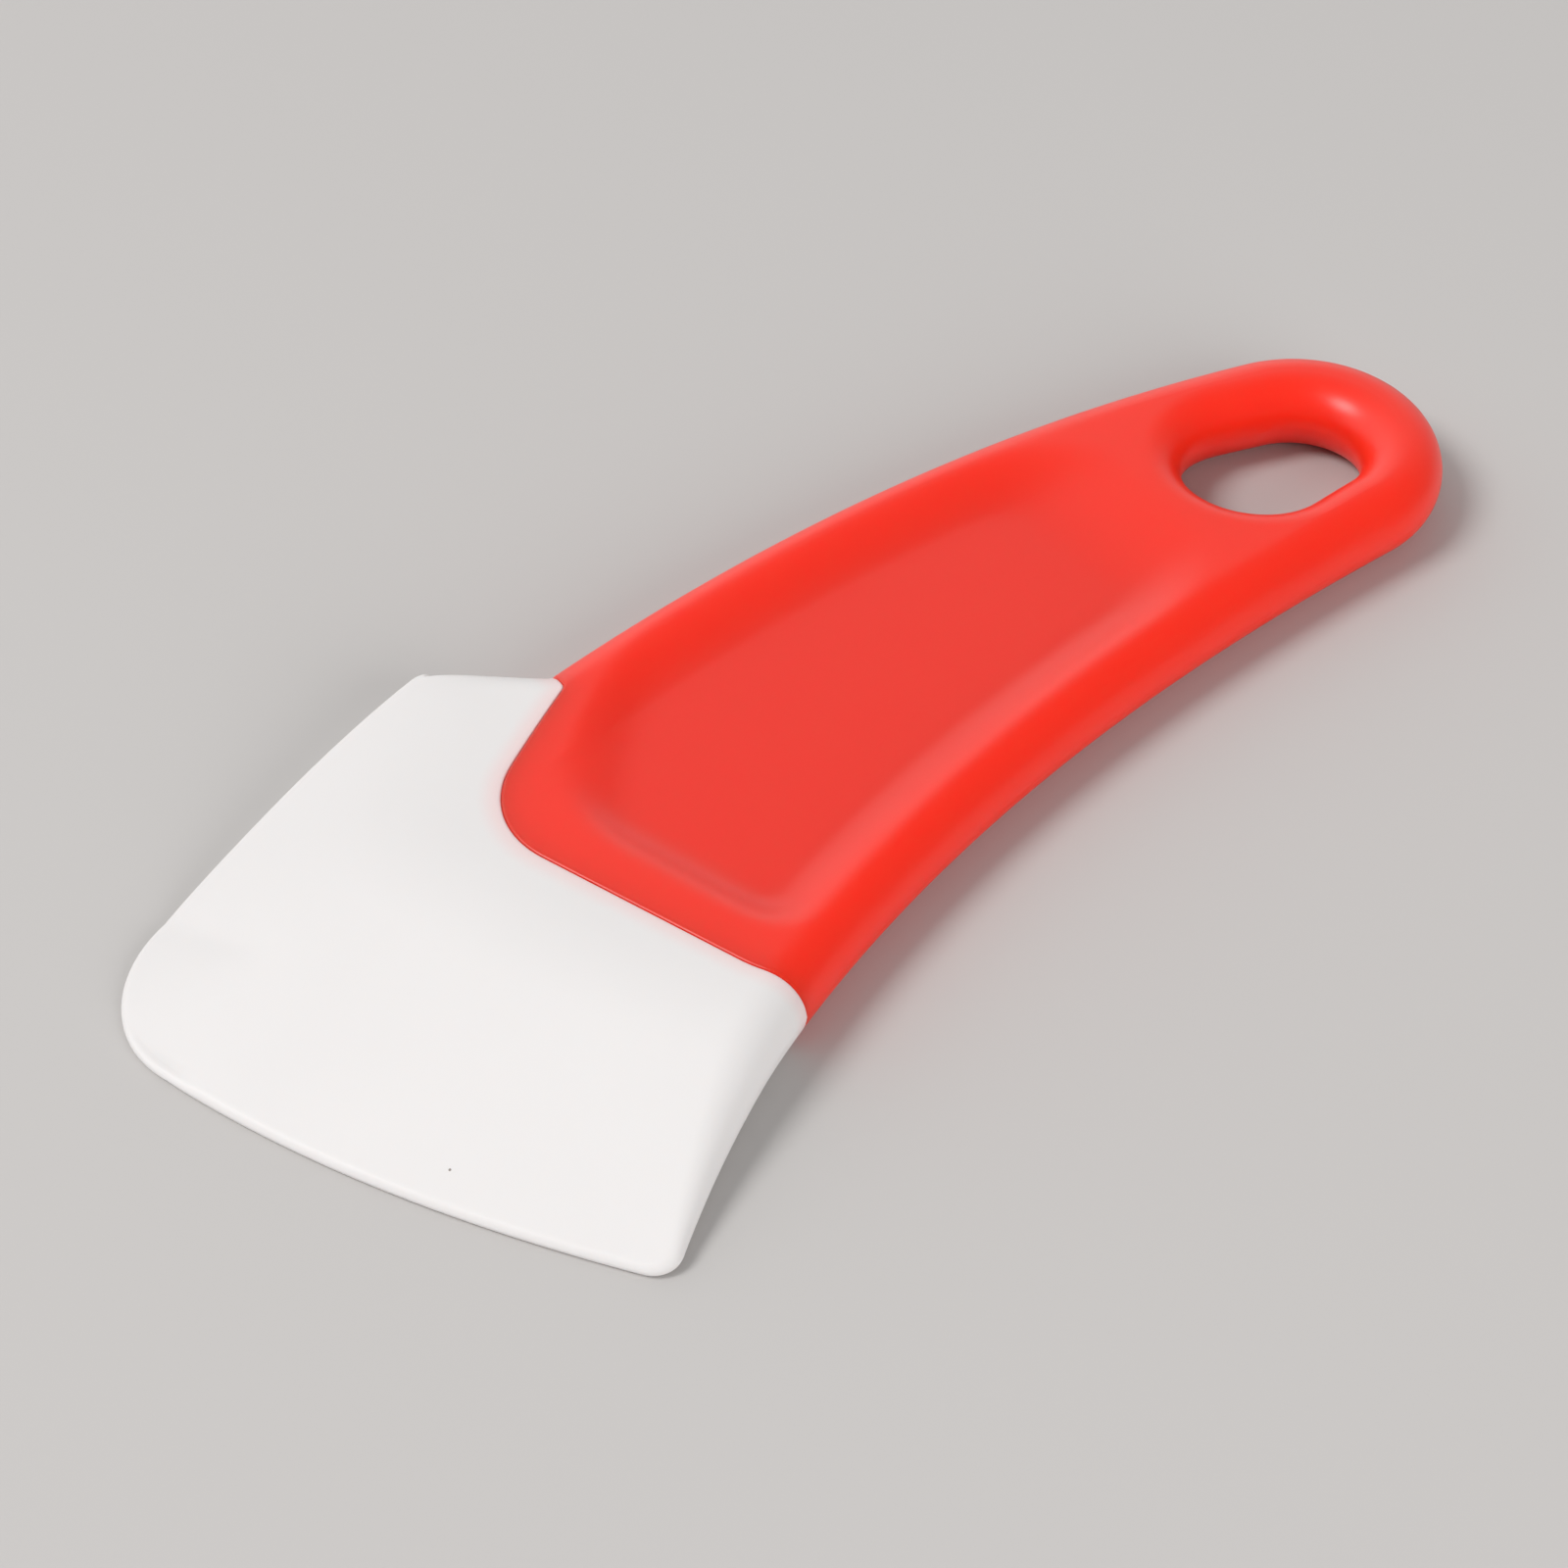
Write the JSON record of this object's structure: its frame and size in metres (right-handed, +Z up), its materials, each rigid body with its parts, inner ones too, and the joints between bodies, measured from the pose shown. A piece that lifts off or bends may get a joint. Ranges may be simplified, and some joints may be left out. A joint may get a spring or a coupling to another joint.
{
  "type": "pan scraper",
  "caption": "Flat palm-held pan scraper with a curved thumb-tray handle, an oval hang hole and a soft offset wedge blade.",
  "frame": {"origin": "on the surface it lies on, under the middle of the object's outline", "axes": "+X from the ring end towards the blade's front edge, +Y towards the side without the shoulder, +Z up"},
  "size_m": [0.1818, 0.079, 0.0104],
  "materials": {
    "handle_shell": "red moulded polypropylene, satin from a fine spark-eroded mould",
    "soft_blade": "white moulded silicone rubber, soft satin",
    "core": "natural moulded nylon, matt"
  },
  "bodies": {
    "root": {"handle": "handle_shell", "blade": "soft_blade", "core_plate": "core"}
  },
  "joints": []
}
